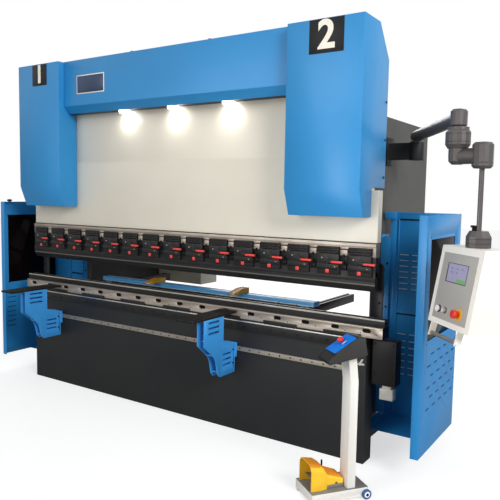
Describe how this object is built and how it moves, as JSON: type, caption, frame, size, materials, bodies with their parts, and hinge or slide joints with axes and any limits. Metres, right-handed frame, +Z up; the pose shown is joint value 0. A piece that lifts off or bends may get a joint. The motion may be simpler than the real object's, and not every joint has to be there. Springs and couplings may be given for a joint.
{
  "type": "press brake",
  "caption": "Hydraulic press brake with covered cylinders, swinging side guards, back gauge, front supports, a control box on a jointed arm and a foot-switch pedestal.",
  "frame": {"origin": "on the floor under the middle of the die, at the middle of the machine's width", "axes": "+X along the die to the operator's right, +Y away from the operator, +Z up"},
  "size_m": [4.1788, 2.2178, 2.585],
  "materials": {
    "blue_paint": "satin enamel",
    "cream_paint": "satin enamel",
    "charcoal_paint": "satin enamel",
    "frame_grey": "satin enamel",
    "tool_black": "blacked steel",
    "ground_steel": "ground",
    "box_white": "powder coat",
    "arm_brown": "powder coat",
    "yellow_plastic": "moulded",
    "red_plastic": "moulded",
    "dark_plastic": "smoked",
    "lamp_glass": "diffusing",
    "wheel_rubber": "matt"
  },
  "bodies": {
    "machine": {"left_cylinder_cover": "blue_paint", "right_cylinder_cover": "blue_paint", "beam_cover": "blue_paint", "left_hinge_post": "blue_paint", "right_hinge_post": "blue_paint", "electrical_cabinet": "blue_paint", "bed_plate": "charcoal_paint", "pump_motor": "charcoal_paint", "left_side_frame": "frame_grey", "right_side_frame": "frame_grey", "left_cylinder": "frame_grey", "right_cylinder": "frame_grey", "oil_tank": "frame_grey", "pedestal_head": "frame_grey", "wedge_table": "tool_black", "v_die": "tool_black", "crowning_drive": "tool_black", "left_scale_bracket": "tool_black", "right_scale_bracket": "tool_black", "left_gauge_rail": "tool_black", "right_gauge_rail": "tool_black", "die_rail": "ground_steel", "support_rail": "ground_steel", "pedestal_base": "box_white", "pedestal_post": "box_white", "pendant_bracket": "arm_brown", "pedal_hood": "yellow_plastic", "left_work_lamp": "lamp_glass", "middle_work_lamp": "lamp_glass", "right_work_lamp": "lamp_glass"},
    "ram": {"ram_plate": "cream_paint", "punch": "tool_black", "clamp_bank": "tool_black", "left_piston_rod": "ground_steel", "right_piston_rod": "ground_steel"},
    "left_guard": {"left_guard_cage": "blue_paint", "left_guard_louvre_panel": "blue_paint", "left_guard_window": "dark_plastic"},
    "right_guard": {"right_guard_cage": "blue_paint", "right_guard_louvre_panel": "blue_paint", "right_guard_window": "dark_plastic"},
    "gauge": {"gauge_beam": "blue_paint"},
    "left_finger": {"left_gauge_finger": "yellow_plastic"},
    "right_finger": {"right_gauge_finger": "yellow_plastic"},
    "left_support": {"left_support_bracket": "blue_paint", "left_support_table": "tool_black"},
    "right_support": {"right_support_bracket": "blue_paint", "right_support_table": "tool_black"},
    "first_arm": {"pendant_first_arm": "arm_brown"},
    "second_arm": {"pendant_second_arm": "arm_brown"},
    "control": {"pendant_post": "arm_brown", "control_box": "box_white", "operator_screen": "dark_plastic"},
    "start": {"start_button": "box_white"},
    "selector": {"selector_switch": "dark_plastic"},
    "stop": {"emergency_stop": "red_plastic"},
    "door": {"cabinet_door": "blue_paint"},
    "foot_pedal": {"pedal": "dark_plastic"},
    "pedestal_stop": {"pedestal_emergency_stop": "red_plastic"},
    "wheels": {"pedestal_wheels": "wheel_rubber"}
  },
  "joints": [
    {"name": "ram_slide", "type": "slide", "parent": "machine", "child": "ram", "axis": [0, 0, 1], "range_m": [-0.148, 0]},
    {"name": "left_guard_swing", "type": "hinge", "parent": "machine", "child": "left_guard", "pos_m": [-1.4, 0.548, 0.8], "axis": [0, 0, 1], "range_deg": [-85, 0]},
    {"name": "right_guard_swing", "type": "hinge", "parent": "machine", "child": "right_guard", "pos_m": [1.4, 0.548, 0.8], "axis": [0, 0, 1], "range_deg": [0, 85]},
    {"name": "gauge_slide", "type": "slide", "parent": "machine", "child": "gauge", "axis": [0, 1, 0], "range_m": [-0.08, 0.6]},
    {"name": "left_finger_slide", "type": "slide", "parent": "gauge", "child": "left_finger", "axis": [1, 0, 0], "range_m": [-0.4, 0.3]},
    {"name": "right_finger_slide", "type": "slide", "parent": "gauge", "child": "right_finger", "axis": [1, 0, 0], "range_m": [-0.3, 0.4]},
    {"name": "left_support_slide", "type": "slide", "parent": "machine", "child": "left_support", "axis": [1, 0, 0], "range_m": [-0.2, 0.7]},
    {"name": "right_support_slide", "type": "slide", "parent": "machine", "child": "right_support", "axis": [1, 0, 0], "range_m": [-0.6, 0.7]},
    {"name": "pendant_shoulder", "type": "hinge", "parent": "machine", "child": "first_arm", "pos_m": [1.564, 0.509, 1.963], "axis": [0, 0, 1], "range_deg": [-20, 60]},
    {"name": "pendant_elbow", "type": "hinge", "parent": "first_arm", "child": "second_arm", "pos_m": [2.021, -0.256, 1.917], "axis": [0, 0, 1], "range_deg": [-45, 60]},
    {"name": "pendant_wrist", "type": "hinge", "parent": "second_arm", "child": "control", "pos_m": [2.15, -0.3, 1.716], "axis": [0, 0, 1], "range_deg": [-60, 60]},
    {"name": "start_press", "type": "slide", "parent": "control", "child": "start", "axis": [0.6903, 0.7025, -0.1732], "range_m": [0, 0.003], "stiffness_N_per_m": 600, "springref_m": -0.003},
    {"name": "selector_turn", "type": "hinge", "parent": "control", "child": "selector", "pos_m": [2.02532, -0.35839, 1.03372], "axis": [0.6903, 0.7025, -0.1732], "range_deg": [-45, 45]},
    {"name": "stop_press", "type": "slide", "parent": "control", "child": "stop", "axis": [0.6903, 0.7025, -0.1732], "range_m": [0, 0.005], "stiffness_N_per_m": 800, "springref_m": -0.003},
    {"name": "cabinet_door_hinge", "type": "hinge", "parent": "machine", "child": "door", "pos_m": [-1.38, 1.5646, 1.2], "axis": [0, 0, 1], "range_deg": [0, 110]},
    {"name": "pedal_press", "type": "hinge", "parent": "machine", "child": "foot_pedal", "pos_m": [1.4968, -0.4626, 0.088], "axis": [-0.8, 0.6, 0], "range_deg": [-12, 0], "stiffness_Nm_per_rad": 20, "springref_deg": 5.73},
    {"name": "pedestal_stop_press", "type": "slide", "parent": "machine", "child": "pedestal_stop", "axis": [0.3031, 0.4041, -0.863], "range_m": [0, 0.004], "stiffness_N_per_m": 600, "springref_m": -0.003},
    {"name": "wheels_spin", "type": "hinge", "parent": "machine", "child": "wheels", "pos_m": [1.5916, -0.3437, 0.026], "axis": [-0.8, 0.6, 0], "continuous": true}
  ]
}
